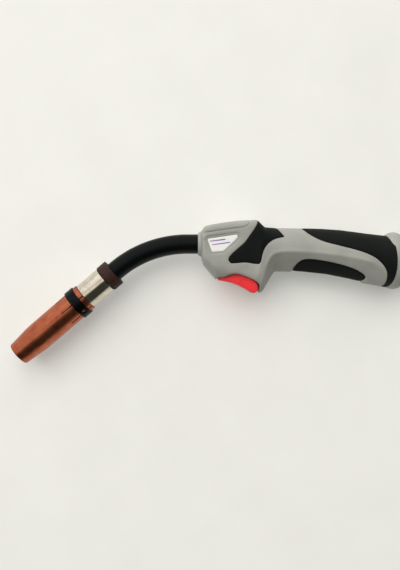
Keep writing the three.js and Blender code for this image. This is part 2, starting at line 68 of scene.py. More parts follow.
def fromHex(code):
    channels = [int(code[i:i + 2], 16) / 255 for i in (1, 3, 5)]
    return (*[c / 12.92 if c <= 0.04045 else ((c + 0.055) / 1.055) ** 2.4 for c in channels], 1)


def perMm(size):
    return 1000 / size  # texture scale that gives features of this size, coordinates being metres


def addNode(tree, kind, settings=(), links=(), stops=(), **options):
    # stops are a colour ramp's, as (place, hex)
    made = tree.nodes.new(kind)
    for name, value in options.items():
        setattr(made, name, value)
    for name, value in dict(settings).items():
        made.inputs[name].default_value = value
    for name, socket in dict(links).items():
        tree.links.new(socket, made.inputs[name])
    for k, (place, code) in enumerate(stops):
        ramp = made.color_ramp.elements
        stop = ramp[k] if k < 2 else ramp.new(place)
        stop.position, stop.color = place, fromHex(code)
    return made


def newMaterial(name, **base):
    made = bpy.data.materials.new(name)
    made.use_nodes = True
    shader = made.node_tree.nodes["Principled BSDF"]
    for socket, value in base.items():
        shader.inputs[socket.replace("_", " ")].default_value = value
    place = addNode(made.node_tree, "ShaderNodeTexCoord").outputs["Object"]
    return made, made.node_tree, shader, place


def wear(tree, shader, pattern, colours, roughness, height, strength, depth, span=(0.3, 0.7)):
    # colour and roughness follow one pattern, and height makes the surface's relief, depth in mm
    tint = addNode(tree, "ShaderNodeValToRGB", links={"Fac": pattern}, stops=zip(span, colours))
    rough = addNode(tree, "ShaderNodeMapRange", {"To Min": roughness[0], "To Max": roughness[1]},
                    {"Value": pattern})
    bump = addNode(tree, "ShaderNodeBump", {"Strength": strength, "Distance": depth / 1000},
                   {"Height": height})
    tree.links.new(tint.outputs[0], shader.inputs["Base Color"])
    tree.links.new(rough.outputs[0], shader.inputs["Roughness"])
    tree.links.new(bump.outputs[0], shader.inputs["Normal"])
    return tint


noseTurn = math.radians(40.7)  # how far the nose hangs below the handle's line


def alongNose(tree, place):
    # the same place with x turned along the nose
    turned = addNode(tree, "ShaderNodeMapping", {"Rotation": (0, 0, -noseTurn)}, {"Vector": place})
    return turned.outputs[0]


def drawnCopper():
    # deep-drawn copper, buffed and then handled: soft lengthwise streaks, dull finger-worn patches
    look, tree, shader, place = newMaterial("drawnCopper", Metallic=1)
    streakMap = addNode(tree, "ShaderNodeMapping", {"Scale": (0.04, 1, 1)},
                        {"Vector": alongNose(tree, place)})
    streaks = addNode(tree, "ShaderNodeTexNoise", {"Scale": perMm(0.9), "Detail": 5},
                      {"Vector": streakMap.outputs[0]})
    patches = addNode(tree, "ShaderNodeTexNoise", {"Scale": perMm(7), "Detail": 4, "Roughness": 0.6},
                      {"Vector": place})
    worn = wear(tree, shader, patches.outputs["Fac"], ("#8f4730", "#c67757"), (0.24, 0.4),
                streaks.outputs["Fac"], 0.12, 0.04, (0.35, 0.62))
    fine = addNode(tree, "ShaderNodeValToRGB", links={"Fac": streaks.outputs["Fac"]},
                   stops=((0.3, "#a9583e"), (0.7, "#c97557")))
    mix = addNode(tree, "ShaderNodeMix", {"Factor": 0.4},
                  {"A": fine.outputs[0], "B": worn.outputs[0]}, data_type="RGBA")
    tree.links.new(mix.outputs["Result"], shader.inputs["Base Color"])
    return look


def nickelPlate():
    # bright nickel over turned brass: warm mirror with faint turning rings and light wipe marks
    look, tree, shader, place = newMaterial("nickelPlatedBrass", Metallic=1)
    rings = addNode(tree, "ShaderNodeTexWave", {"Scale": perMm(4), "Distortion": 1.5, "Detail": 3},
                    {"Vector": alongNose(tree, place)}, bands_direction="X")
    wipes = addNode(tree, "ShaderNodeTexNoise", {"Scale": perMm(5), "Detail": 6}, {"Vector": place})
    wear(tree, shader, wipes.outputs["Fac"], ("#cdc4b4", "#e4dccf"), (0.1, 0.2),
         rings.outputs["Fac"], 0.05, 0.02)
    return look


def grainedMetal(name, colours, roughness, grain):
    # turned, plated or blackened metal: one colour that drifts a little, with a fine grain
    look, tree, shader, place = newMaterial(name, Metallic=1)
    cloud = addNode(tree, "ShaderNodeTexNoise", {"Scale": perMm(3), "Detail": 5}, {"Vector": place})
    tooth = addNode(tree, "ShaderNodeTexNoise", {"Scale": perMm(grain), "Detail": 3}, {"Vector": place})
    wear(tree, shader, cloud.outputs["Fac"], colours, roughness, tooth.outputs["Fac"], 0.15, 0.03)
    return look


def mouldedPlastic(name, colours, roughness, grain, depth, gloss=0.5):
    # injection moulding from a spark-eroded tool: pebbled grain, drawn a little coarse so it shows,
    # with slow drifts of colour and rubbed, shinier patches
    look, tree, shader, place = newMaterial(name, IOR=1.53, Specular_IOR_Level=gloss)
    drift = addNode(tree, "ShaderNodeTexNoise", {"Scale": perMm(18), "Detail": 3}, {"Vector": place})
    pebble = addNode(tree, "ShaderNodeTexVoronoi", {"Scale": perMm(grain)}, {"Vector": place},
                     feature="SMOOTH_F1")
    tooth = addNode(tree, "ShaderNodeTexNoise", {"Scale": perMm(grain * 0.6), "Detail": 4},
                    {"Vector": place})
    both = addNode(tree, "ShaderNodeMath", links={0: pebble.outputs["Distance"], 1: tooth.outputs["Fac"]},
                   operation="ADD")
    wear(tree, shader, drift.outputs["Fac"], colours, roughness, both.outputs[0], 0.35, depth)
    return look


def laminatedPhenolic():
    # machined paper phenolic: thin plies show as rings round the turned face
    look, tree, shader, place = newMaterial("paperPhenolic", IOR=1.6, Specular_IOR_Level=0.18)
    plies = addNode(tree, "ShaderNodeTexWave", {"Scale": perMm(2.2), "Distortion": 3, "Detail": 4},
                    {"Vector": alongNose(tree, place)}, bands_direction="X")
    cloud = addNode(tree, "ShaderNodeTexNoise", {"Scale": perMm(2.5), "Detail": 6}, {"Vector": place})
    wear(tree, shader, cloud.outputs["Fac"], ("#2c1c19", "#3f2722"), (0.5, 0.68),
         plies.outputs["Fac"], 0.2, 0.05)
    return look


def printedInk():
    # screen ink on the label: runs from rose to violet blue along the line, a little uneven
    look, tree, shader, place = newMaterial("labelInk", IOR=1.5, Roughness=0.35)
    shifted = addNode(tree, "ShaderNodeMapping",
                      {"Location": (-55 * inFrame((9, 0, 0))[0], 0, 0), "Scale": (55, 0, 0)},
                      {"Vector": place})  # 0 to 1 over 18 mm
    apart = addNode(tree, "ShaderNodeSeparateXYZ", links={0: shifted.outputs[0]})
    blotch = addNode(tree, "ShaderNodeTexNoise", {"Scale": perMm(0.8)}, {"Vector": place})
    wobble = addNode(tree, "ShaderNodeMath", {1: 0.35}, {0: blotch.outputs["Fac"]}, operation="MULTIPLY")
    total = addNode(tree, "ShaderNodeMath", links={0: apart.outputs[0], 1: wobble.outputs[0]},
                    operation="ADD")
    tint = addNode(tree, "ShaderNodeValToRGB", links={"Fac": total.outputs[0]},
                   stops=((0.1, "#c9a2c4"), (0.8, "#5b57b0")))
    tree.links.new(tint.outputs[0], shader.inputs["Base Color"])
    return look


looks = {
    "copper": drawnCopper(),
    "nickel": nickelPlate(),
    "black_steel": grainedMetal("blackenedSpringSteel", ("#17191b", "#24272a"), (0.34, 0.5), 0.3),
    "brass": grainedMetal("turnedBrass", ("#a98a48", "#c7aa62"), (0.25, 0.4), 0.25),
    "steel": grainedMetal("zincPlatedSteel", ("#9b9da0", "#b9babb"), (0.25, 0.42), 0.2),
    "phenolic": laminatedPhenolic(),
    "ceramic": mouldedPlastic("glassFilledWhite", ("#dedacd", "#efece2"), (0.55, 0.7), 0.3, 0.02),
    "grey_plastic": mouldedPlastic("greyAbs", ("#9a9b96", "#a6a7a2"), (0.42, 0.55), 0.45, 0.02, 0.35),
    "black_plastic": mouldedPlastic("blackNylon", ("#131415", "#1d1f20"), (0.4, 0.55), 0.4, 0.02),
    "black_rubber": mouldedPlastic("softTouchRubber", ("#0c100f", "#141817"), (0.62, 0.8), 0.55, 0.05,
                                   0.16),
    "neck_rubber": mouldedPlastic("glossyNeckRubber", ("#050909", "#090e0e"), (0.3, 0.42), 1.2, 0.02,
                                  0.12),
    "red_plastic": mouldedPlastic("redNylon", ("#f5252f", "#fb303a"), (0.36, 0.46), 0.5, 0.015),
    "white_label": mouldedPlastic("whiteLabelFilm", ("#eeeeec", "#f8f8f7"), (0.3, 0.4), 0.8, 0.006),
    "ink": printedInk(),
}
print("materials made")


# ---- building pieces

def newPiece(name, shape, look, body="handle", instead=(), sharp=35):
    points, faces = outward(shape)
    mesh = bpy.data.meshes.new(name)
    mesh.from_pydata([tuple(p) for p in inFrame(points)], [], [tuple(map(int, f)) for f in faces])
    mesh.validate()
    mesh.shade_smooth()
    mesh.set_sharp_from_angle(angle=math.radians(sharp))
    piece = bpy.data.objects.new(name, mesh)
    bpy.context.scene.collection.objects.link(piece)
    mesh.materials.append(looks[look])
    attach(piece, body)
    if instead:
        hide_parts(*instead)
    return piece


def joinShapes(*shapes):
    points, faces, count = [], [], 0
    for shapePoints, shapeFaces in shapes:
        points += [tuple(p) for p in shapePoints]
        faces += [[i + count for i in face] for face in shapeFaces]
        count += len(shapePoints)
    return points, faces


def rounded(profile, radius, steps=4):
    # Each inner corner of an open profile, or every corner of a closed one, becomes an arc.
    out = []
    for i, (corner, size) in enumerate(zip(profile, radius if np.ndim(radius) else [radius] * len(profile))):
        here = Vector(corner)
        before, after = Vector(profile[i - 1]), Vector(profile[(i + 1) % len(profile)])
        a, b = before - here, after - here
        if size <= 0 or a.length < 1e-6 or b.length < 1e-6:
            out.append(tuple(here))
            continue
        half = a.angle(b) / 2
        reach = min(size / math.tan(half), 0.48 * a.length, 0.48 * b.length)
        first, last = here + a.normalized() * reach, here + b.normalized() * reach
        for k in range(steps + 1):
            t = k / steps
            out.append(tuple(first * (1 - t) ** 2 + here * 2 * t * (1 - t) + last * t * t))
    return out


def turned(profile, centre, direction, sides=96, sweep=None, slots=(), lobes=None):
    # A closed profile of (radius, distance) swept about an axis through centre. A slot is (first column,
    # last column, first corner): the columns are cut through from that corner round to corner 0.
    # lobes names the corners whose radius waves, as (first, last, count, share).
    direction = Vector(direction).normalized()
    up = Vector((0, 0, 1)) if abs(direction.z) < 0.9 else Vector((1, 0, 0))
    across = up.cross(direction).normalized()
    columns = sides if sweep is None else sides + 1
    begin, finish = sweep or (0, 2 * math.pi)
    n = len(profile)
    points, faces = [], []
    for k in range(columns):
        turn = begin + (finish - begin) * k / sides
        out = up * math.cos(turn) + across * math.sin(turn)
        for row, (radius, distance) in enumerate(profile):
            if lobes and lobes[0] <= row <= lobes[1]:
                radius *= 1 + lobes[3] * math.cos(lobes[2] * turn)
            points.append(Vector(centre) + direction * distance + out * radius)
    gone = {(column % columns, row) for first, last, corner in slots
            for column in range(first, last) for row in range(corner, n)}
    for k in range(sides):
        following = (k + 1) % columns
        for row in range(n):
            after = (row + 1) % n
            if (k, row) not in gone:
                faces.append([k * n + row, following * n + row, following * n + after, k * n + after])
    for first, last, corner in slots:
        left, right = first % columns * n, last % columns * n
        rows = list(range(corner, n)) + [0]
        faces.append([left + row for row in reversed(rows)])
        faces.append([right + row for row in rows])
        inner = [(first + k) % columns * n + corner for k in range(last - first + 1)]
        outer = [(last - k) % columns * n for k in range(last - first + 1)]
        faces.append(inner + outer)
    if sweep is not None:
        faces.append(list(range(n)))
        faces.append([(columns - 1) * n + row for row in reversed(range(n))])
    return points, faces


def ringFaces(rings, sides, loops=False):
    # between each ring of points and the next, and from the last to the first if it loops
    faces = []
    for k in range(rings if loops else rings - 1):
        here, after = k * sides, (k + 1) % rings * sides
        for i in range(sides):
            j = (i + 1) % sides
            faces.append([here + i, here + j, after + j, after + i])
    return faces


def outward(shape):
    # turns the faces of a closed shape to face out
    points, faces = shape
    volume = 0
    p = np.array([tuple(q) for q in points])
    for face in faces:
        for i in range(1, len(face) - 1):
            volume += np.dot(p[face[0]], np.cross(p[face[i]], p[face[i + 1]]))
    return (points, faces) if volume > 0 else (points, [list(face)[::-1] for face in faces])


def mirrored(shape):
    points, faces = shape
    return [(p[0], p[1], -p[2]) for p in points], [list(face)[::-1] for face in faces]


# ---- stage: floor, light, camera

stageSet = {
    "cameraHeight": 607,  # above the torch's middle plane
    "cameraOver": (1.8, -36.4),
    "lens": 43.1,
    "floorSize": 6000,
    "roomLight": 1.2,
    "floorGlow": 0.28,  # light that the real room throws back under the torch
}
scene = bpy.context.scene
cameraData = bpy.data.cameras.new("camera")
cameraData.lens = stageSet["lens"]
cameraData.clip_end = 20
camera = bpy.data.objects.new("camera", cameraData)
camera.location = inFrame((*stageSet["cameraOver"], stageSet["cameraHeight"]))
scene.collection.objects.link(camera)
scene.camera = camera
scene.view_settings.view_transform = "Standard"


def areaLight(name, size, power, place, colour):
    data = bpy.data.lights.new(name, "AREA")
    data.shape = "RECTANGLE"
    data.size, data.size_y = size
    data.energy = power
    data.color = fromHex(colour)[:3]
    lamp = bpy.data.objects.new(name, data)
    lamp.location = place
    lamp.rotation_euler = (-Vector(place)).to_track_quat("-Z", "Y").to_euler()
    lamp.visible_glossy = False  # the metal mirrors the even white room instead
    scene.collection.objects.link(lamp)


areaLight("windowLight", (2.4, 1.8), 33, (-0.65, 1, 2), "#fffdf8")

# A white room, dark towards the torch's trigger side: the metal mirrors that as one dark band.
world = bpy.data.worlds.new("studio")
scene.world = world
world.use_nodes = True
worldTree = world.node_tree
toSky = addNode(worldTree, "ShaderNodeTexCoord").outputs["Generated"]
brightWay = addNode(worldTree, "ShaderNodeVectorMath", {1: (-0.35, 0.75, 0.55)}, {0: toSky},
                    operation="DOT_PRODUCT")
window = addNode(worldTree, "ShaderNodeValToRGB", links={"Fac": brightWay.outputs["Value"]},
                 stops=((0.42, "#363832"), (0.96, "#ffffff"), (0.54, "#e6e2da"), (0.66, "#efebe4"),
                        (0.75, "#cbc4ba"), (0.83, "#e4dfd8")))
skyHeight = addNode(worldTree, "ShaderNodeSeparateXYZ", links={0: toSky})
horizon = addNode(worldTree, "ShaderNodeValToRGB", links={"Fac": skyHeight.outputs["Z"]},
                  stops=((0.15, "#c2c1b8"), (0.3, "#000000")))
room = addNode(worldTree, "ShaderNodeMix", {"Factor": 1}, {"A": window.outputs[0], "B": horizon.outputs[0]},
               data_type="RGBA", blend_type="LIGHTEN")
background = worldTree.nodes["Background"]
worldTree.links.new(room.outputs["Result"], background.inputs["Color"])
background.inputs["Strength"].default_value = stageSet["roomLight"]

reach = stageSet["floorSize"] / 2000
floorMesh = bpy.data.meshes.new("floor")
floorMesh.from_pydata([(-reach, -reach, 0), (reach, -reach, 0), (reach, reach, 0), (-reach, reach, 0)],
                      [], [(0, 1, 2, 3)])
floor = bpy.data.objects.new("floor", floorMesh)
scene.collection.objects.link(floor)
floorLook, floorTree, floorShader, floorPlace = newMaterial("paintedTable", Roughness=0.6)
floorShader.inputs["Emission Color"].default_value = fromHex("#f4f5f0")
floorShader.inputs["Emission Strength"].default_value = stageSet["floorGlow"]
floorCloud = addNode(floorTree, "ShaderNodeTexNoise", {"Scale": perMm(60), "Detail": 4},
                     {"Vector": floorPlace})
floorTint = addNode(floorTree, "ShaderNodeValToRGB", links={"Fac": floorCloud.outputs["Fac"]},
                    stops=((0.3, "#d2d2cf"), (0.7, "#d7d7d4")))
floorTree.links.new(floorTint.outputs[0], floorShader.inputs["Base Color"])
floorMesh.materials.append(floorLook)
print("stage set")


# ---- neck

neck = {"radius": 8.65, "bore": 6.4, "bend": noseTurn, "arcStartX": -9.3, "arcRadius": 98, "rearX": 20,
        "end": 9}
bendEnd = Vector((neck["arcStartX"] - neck["arcRadius"] * math.sin(noseTurn),
                  -neck["arcRadius"] * (1 - math.cos(noseTurn)), 0))
noseLine = Vector((-math.cos(noseTurn), -math.sin(noseTurn), 0))


def bentHose(radius, bore, sides=64, steps=48):
    line = [(Vector((neck["rearX"] + (neck["arcStartX"] - neck["rearX"]) * k / 8, 0, 0)), Vector((0, 1, 0)))
            for k in range(8)]
    for k in range(steps + 1):
        turn = noseTurn * k / steps
        out = Vector((-math.sin(turn), math.cos(turn), 0))
        line.append((Vector((neck["arcStartX"], -neck["arcRadius"], 0)) + out * neck["arcRadius"], out))
    out = line[-1][1]
    line += [(bendEnd + noseLine * neck["end"] * k / 2, out) for k in (1, 2)]
    rings = [(place, out, radius) for place, out in line] + [(place, out, bore) for place, out in line[::-1]]
    points = []
    for place, out, size in rings:
        for i in range(sides):
            turn = 2 * math.pi * i / sides
            points.append(place + out * size * math.cos(turn) + Vector((0, 0, size * math.sin(turn))))
    return points, ringFaces(len(rings), sides, True)


newPiece("neck_hose", bentHose(neck["radius"], neck["bore"]), "neck_rubber", instead=["neck_cover"])


def noseRing(name, profile, look, instead, body="handle", sides=96, **how):
    return newPiece(name, turned(profile, bendEnd, noseLine, sides, **how), look, body, instead)


# ---- nose

noseRing("brown_collar", rounded([(8.9, 1.8), (12.5, 1.8), (12.5, 11.6), (6.4, 11.6), (6.4, 9.4), (8.9, 9.4)],
                                 [0.3, 0.7, 0.6, 0.2, 0.2, 0.2]), "phenolic", ["insulator_collar"])
noseRing("nickel_sleeve", rounded([(9.8, 11.9), (11.6, 11.9), (12, 12.4), (12, 35), (9.8, 35)],
                                  [0.2, 0.2, 0.3, 0.35, 0.1]), "nickel", ["head_sleeve"])
# The sleeve's seat under the nozzle is drawn in blackened steel, not nickel, so the nozzle's slots show dark:
# painted shade behind the slots.
noseRing("sleeve_seat_painted_shade", rounded([(9.8, 35), (11.2, 35), (11.2, 50), (9.8, 50)], [0, 0, 0.4, 0.2]),
         "black_steel", ["head_sleeve"])

nozzle = {
    "start": 35.3, "length": 78.2, "taper": 21, "shoulder": 3, "sides": 288,
    "radius": 12.85, "tip": 10.7, "mouth": 8.6, "bore": 9.5, "seat": 11.5,
    "slots": 6, "slotLength": 23.6, "slotColumns": 4, "slotTurn": -6.5,
}
rimStart, noseEnd = nozzle["start"], nozzle["start"] + nozzle["length"]


def nozzleProfile():
    # outside from the slots' ends forward, round the mouth, back inside and round the rear rim
    slotEnd = rimStart + nozzle["slotLength"]
    body, drop = nozzle["radius"], nozzle["radius"] - nozzle["tip"]
    front = [(body, slotEnd), (body, noseEnd - nozzle["taper"] - 14)]
    soft = nozzle["shoulder"]
    for along in np.linspace(-2.5 * soft, nozzle["taper"] - 1.4, 22):
        down = (along + math.hypot(along, soft)) / 2 * drop / nozzle["taper"]
        front.append((body - down, noseEnd - nozzle["taper"] + along))
    mouth = nozzle["mouth"]
    front += rounded([(nozzle["tip"] + 0.12, noseEnd - 1), (nozzle["tip"], noseEnd), (mouth, noseEnd),
                      (mouth + 0.1, noseEnd - 1.2)], [0, 0.9, 0.6, 0])
    front += [(nozzle["bore"], noseEnd - nozzle["taper"])]
    bore, seat = nozzle["bore"], nozzle["seat"]
    rear = [(bore, slotEnd)] + rounded(
        [(bore, 52.5), (seat, 50.4), (seat, rimStart), (body, rimStart), (body, rimStart + 1.6)],
        [0, 0, 0.3, 0.8, 0], 4)
    return front + rear, len(front)


nozzleShape, slotCorner = nozzleProfile()
nozzleSlots = []
for k in range(nozzle["slots"]):
    column = round((nozzle["slotTurn"] / 360 + k / nozzle["slots"]) * nozzle["sides"])
    nozzleSlots.append((column, column + nozzle["slotColumns"], slotCorner))
noseRing("copper_nozzle", nozzleShape, "copper", ["gas_nozzle"], "nozzle", nozzle["sides"], slots=nozzleSlots)

clampRing = {"start": 39.2, "width": 8.6, "inner": 13.15, "outer": 14.1, "hole": 1.6, "holeTurn": 47}


def ringWithHole(sides=180, holeSides=24):
    # the band unrolled, meshed round its hole, and rolled up again
    outer, width = clampRing["outer"], clampRing["width"]
    round2 = 2 * math.pi * outer
    holeAt = (clampRing["holeTurn"] / 360 * round2, width / 2)
    flat, edges = [], []
    heights = [0, 0.15, 0.4, 1, 2.5, width / 2, width - 2.5, width - 1, width - 0.4, width - 0.15, width]
    for i in range(sides + 1):
        for h in heights:
            at = (round2 * i / sides, h)
            if math.dist(at, holeAt) > clampRing["hole"] + 0.4:
                flat.append(at)
    for grow in (0, 0.2):
        first = len(flat)
        for k in range(holeSides):
            turn = 2 * math.pi * k / holeSides
            flat.append((holeAt[0] + (clampRing["hole"] + grow) * math.cos(turn),
                         holeAt[1] + (clampRing["hole"] + grow) * math.sin(turn)))
            if grow == 0:
                edges.append((first + k, first + (k + 1) % holeSides))
    made = delaunay_2d_cdt([Vector(p) for p in flat], edges, [], 0, 1e-6)
    places = [tuple(p) for p in made[0]]
    faces = [f for f in made[2]
             if math.dist(np.mean([places[i] for i in f], axis=0), holeAt) > clampRing["hole"] * 0.98]
    across = Vector((0, 0, 1)).cross(noseLine)

    def roll(place, radius):
        turn = place[0] / outer
        along = clampRing["start"] + place[1]
        out = Vector((0, 0, 1)) * math.cos(turn) + across * math.sin(turn)
        return bendEnd + noseLine * along + out * radius

    def crown(place):
        edge = min(place[1], width - place[1], math.dist(place, holeAt) - clampRing["hole"])
        return outer - 0.25 * max(0, 1 - edge / 0.4) ** 2

    inside = [roll(p, clampRing["inner"]) for p in places]
    return closedSkin([roll(p, crown(p)) for p in places], inside, faces)


def closedSkin(outer, inner, faces):
    # A sheet and its copy, closed along every open edge.
    count = len(outer)
    used = {}
    for face in faces:
        for a, b in zip(face, list(face[1:]) + [face[0]]):
            used[(a, b)] = True
    walls = [(a, b) for a, b in used if (b, a) not in used]
    back = [[i + count for i in reversed(face)] for face in faces]
    sides = [[b, a, a + count, b + count] for a, b in walls]
    return list(outer) + list(inner), [list(f) for f in faces] + back + sides


newPiece("black_clamp_ring", ringWithHole(), "black_steel", "nozzle", ["nozzle_clamp_ring"], 50)

noseRing("copper_contact_tip", rounded(
    [(0.6, 79.8), (3.9, 79.8), (3.9, 89), (5, 89), (5, 104), (3, 110), (0.6, 110)],
    [0.1, 0.3, 0.2, 0.4, 1.5, 0.4, 0.2]), "copper", ["contact_tip"])
noseRing("brass_tip_holder", rounded(
    [(2.3, 38.3), (3.9, 38.3), (3.9, 46.3), (6, 46.3), (6, 88.7), (4.2, 88.7), (4.2, 79.5), (2.3, 79.5)],
    [0.2, 0.4, 0.2, 0.5, 0.8, 0.3, 0.1, 0.1]), "brass", ["tip_holder"])
print("nose made")

# ---- the handle's skin

handle = {
    "top": [(3.1, 11.1), (5.6, 15), (13, 16.8), (20.7, 18.1), (34.6, 19.9), (52.1, 20.7), (54.8, 17.7),
            (58.6, 14.4), (69.1, 14.1), (90.8, 13.8), (108.6, 13.4), (126.4, 12.2), (149.5, 9.1),
            (165.5, 7.2)],
    "bottom": [(3.1, -12.6), (3.7, -17.6), (15.6, -31.6), (25.8, -33.4), (38.1, -37.7), (45.4, -42),
               (50, -43), (55.8, -43.2), (58.1, -40.5), (62.2, -33.2), (66.2, -26.4), (68.1, -24.3),
               (83.2, -24.8), (93.4, -25.6), (113.8, -27.8), (134.3, -31.9), (146.5, -34.8),
               (165.5, -38.2)],
    "halfWidth": [(3.1, 16), (4.2, 20), (5.4, 22), (8, 22.6), (50, 22.6), (60, 20.4), (75, 18.4),
                  (100, 17.8), (130, 19.5), (150, 21.5), (165.5, 22.5)],
    "waist": [(3.1, 0), (30, -4), (52, -10), (65, -7.5), (90, -7.5), (110, -9.4), (130, -12), (150, -14.4),
              (165.5, -15.3)],
    "upperFullness": [(3.1, 5), (50, 5), (65, 2.3), (165.5, 2)],
    "lowerFullness": [(3.1, 3), (50, 3), (65, 2.4), (140, 2.1), (165.5, 2)],
    "rearFlare": 3.2, "rearBulge": 4.8,  # the back of the handle laps over the collar at the flanks
    "flank": [(3.1, 20.4), (52, 20.4), (64, 30), (165.5, 30)],  # the head's flanks are flat
    "frontX": 3.1, "rearX": 165.5,
    "lipRadius": 11.1, "lipBore": 8.95,
    "wall": 2.4, "padDepth": 1.2, "seam": 0.1,  # seam: half the gap between neighbours
}
rearEnd = {
    "axisY": -14.8, "ballX": 174, "ballRadius": 17.5,
    "seat": 17.85, "frontSeat": 17.9,  # the ball's seat in the collar, and in the shells
    "lapStart": 156,  # where the handle starts to widen over the collar
    "beadX": 172.7, "beadCentre": 15.2, "beadRadius": 10, "beadStart": 165.8, "beadEnd": 180.5,
}
rowStep, columns = 0.4, 241


def bell(blur, step):
    # how many steps a blur reaches, and its weights
    reach = int(3 * blur / step)
    weight = np.exp(-0.5 * (np.arange(-reach, reach + 1) * step / blur) ** 2)
    return reach, weight / weight.sum()


def smoothLine(points, blur):
    # straight stretches between the points, their corners blended over about blur
    fine = 0.1
    xs = np.arange(points[0][0], points[-1][0] + fine, fine)
    ys = np.interp(xs, *zip(*points))
    reach, weight = bell(blur, fine)
    ys = np.convolve(np.pad(ys, reach, mode="reflect", reflect_type="odd"), weight, "valid")
    return lambda x: np.interp(x, xs, ys)


lines = {name: smoothLine(handle[name], blur) for name, blur in (
    ("top", 0.6), ("bottom", 0.8), ("halfWidth", 1.2), ("waist", 5), ("upperFullness", 3),
    ("lowerFullness", 4), ("flank", 2))}

# The ridge that climbs from the horn behind the trigger and runs back along the grip. Below it the
# flank turns inwards: depth grows with the distance from the ridge, and is blurred so no crease forms
# in the corner.
ridge = {
    "line": [(54.6, -46), (55.4, -38), (56.7, -30.1), (59.3, -18.5), (63.1, -10.8), (70.8, -7.3),
             (90.3, -7.6), (110.4, -9.2), (130, -12), (142.9, -14.6), (152.6, -18.5), (158.3, -23.1),
             (162, -29.1), (162.2, -37), (162.2, -60), (54.6, -60)],
    "slope": [(54, 1.35), (62, 1.2), (74, 1.02), (85, 0.85), (95, 0.7), (120, 0.5), (165.5, 0.4)],
    "halfWidth": 20,  # depths are true at this half width
    "roundness": 0.8, "blur": 0.55, "cell": 0.5,
    "crown": 0.55, "crownWidth": 1.8,  # the ridge itself stands a little proud
    "low": (50, -60), "high": (170, 25),
}


def insideOf(line, x, y):
    hit = np.zeros(np.shape(x), bool)
    for (x0, y0), (x1, y1) in zip(line, np.roll(line, -1, axis=0)):
        if y0 != y1:
            hit ^= ((y0 > y) != (y1 > y)) & (x < (x1 - x0) * (y - y0) / (y1 - y0) + x0)
    return hit


def cutCorners(line):
    for _ in range(3):
        after = np.roll(line, -1, axis=0)
        line = np.stack([line * 0.75 + after * 0.25, line * 0.25 + after * 0.75], axis=1).reshape(-1, 2)
    return line


def ridgeField():
    cell = ridge["cell"]
    line = cutCorners(np.array(ridge["line"]))
    xs = np.arange(ridge["low"][0], ridge["high"][0], cell)
    ys = np.arange(ridge["low"][1], ridge["high"][1], cell)
    gridX, gridY = np.meshgrid(xs, ys, indexing="ij")
    marks = evenly(np.array([p for p in line if p[1] > -50]), 500)
    away = np.full(gridX.shape, 1e9)
    for x, y in marks:
        away = np.minimum(away, np.hypot(gridX - x, gridY - y))
    crown = ridge["crown"] * np.exp(-(away / ridge["crownWidth"]) ** 2)
    away *= insideOf(line, gridX, gridY)
    turn = ridge["roundness"]
    depth = (np.hypot(away, turn) - turn) * np.interp(gridX, *zip(*ridge["slope"]))
    reach, weight = bell(ridge["blur"], cell)
    for axis in (0, 1):
        depth = np.apply_along_axis(lambda row: np.convolve(np.pad(row, reach, mode="edge"), weight, "valid"),
                                    axis, depth)
    return depth - crown


def between(table, row, column):
    # a table's value at places between its rows and columns
    row = np.clip(row, 0, table.shape[0] - 1.001)
    column = np.clip(column, 0, table.shape[1] - 1.001)
    r, c = row.astype(int), column.astype(int)
    fr, fc = row - r, column - c
    if table.ndim == 3:
        fr, fc = fr[..., None], fc[..., None]
    return ((table[r, c] * (1 - fc) + table[r, c + 1] * fc) * (1 - fr)
            + (table[r + 1, c] * (1 - fc) + table[r + 1, c + 1] * fc) * fr)


def ridgeDepth(x, y):
    left, low = ridge["low"]
    return between(ridgeGrid, (x - left) / ridge["cell"], (y - low) / ridge["cell"])


def evenly(line, count):
    steps = np.r_[0, np.cumsum(np.linalg.norm(np.diff(line, axis=0), axis=1))]
    wanted = np.linspace(0, steps[-1], count)
    return np.stack([np.interp(wanted, steps, line[:, axis]) for axis in range(line.shape[1])], axis=1)


def halfSection(x):
    # from the bottom over the left flank to the top
    turn = np.linspace(-math.pi / 2, math.pi / 2, 901)
    up, across = np.sin(turn), np.maximum(np.cos(turn), 0)
    waist = lines["waist"](x)
    edge = np.where(up < 0, lines["bottom"](x), lines["top"](x))
    power = 2 / np.where(up < 0, lines["lowerFullness"](x), lines["upperFullness"](x))
    y = waist + abs(edge - waist) * np.sign(up) * abs(up) ** power
    z = lines["halfWidth"](x) * across ** power
    z = np.maximum(0, -np.logaddexp(-2 * z, -2 * lines["flank"](x)) / 2)
    z = z * (1 - ridgeDepth(np.full_like(y, x), y) / ridge["halfWidth"])
    lapStart, axisY = rearEnd["lapStart"], rearEnd["axisY"]
    back = np.clip((x - lapStart) / (handle["rearX"] - lapStart), 0, 1) ** 2
    share = z / handle["halfWidth"][-1][1]
    flare = 1 + handle["rearFlare"] * back * share ** 2 / np.maximum(np.hypot(y - axisY, z), 1)
    y, z = (y - axisY) * flare + axisY, z * flare
    return evenly(np.stack([x + handle["rearBulge"] * back * share ** 0.8, y, z], axis=1), columns)


def lipCircle(radius, x):
    turn = np.linspace(-math.pi / 2, math.pi / 2, columns)
    return np.stack([np.full(columns, x), radius * np.sin(turn), radius * np.cos(turn)], axis=1)


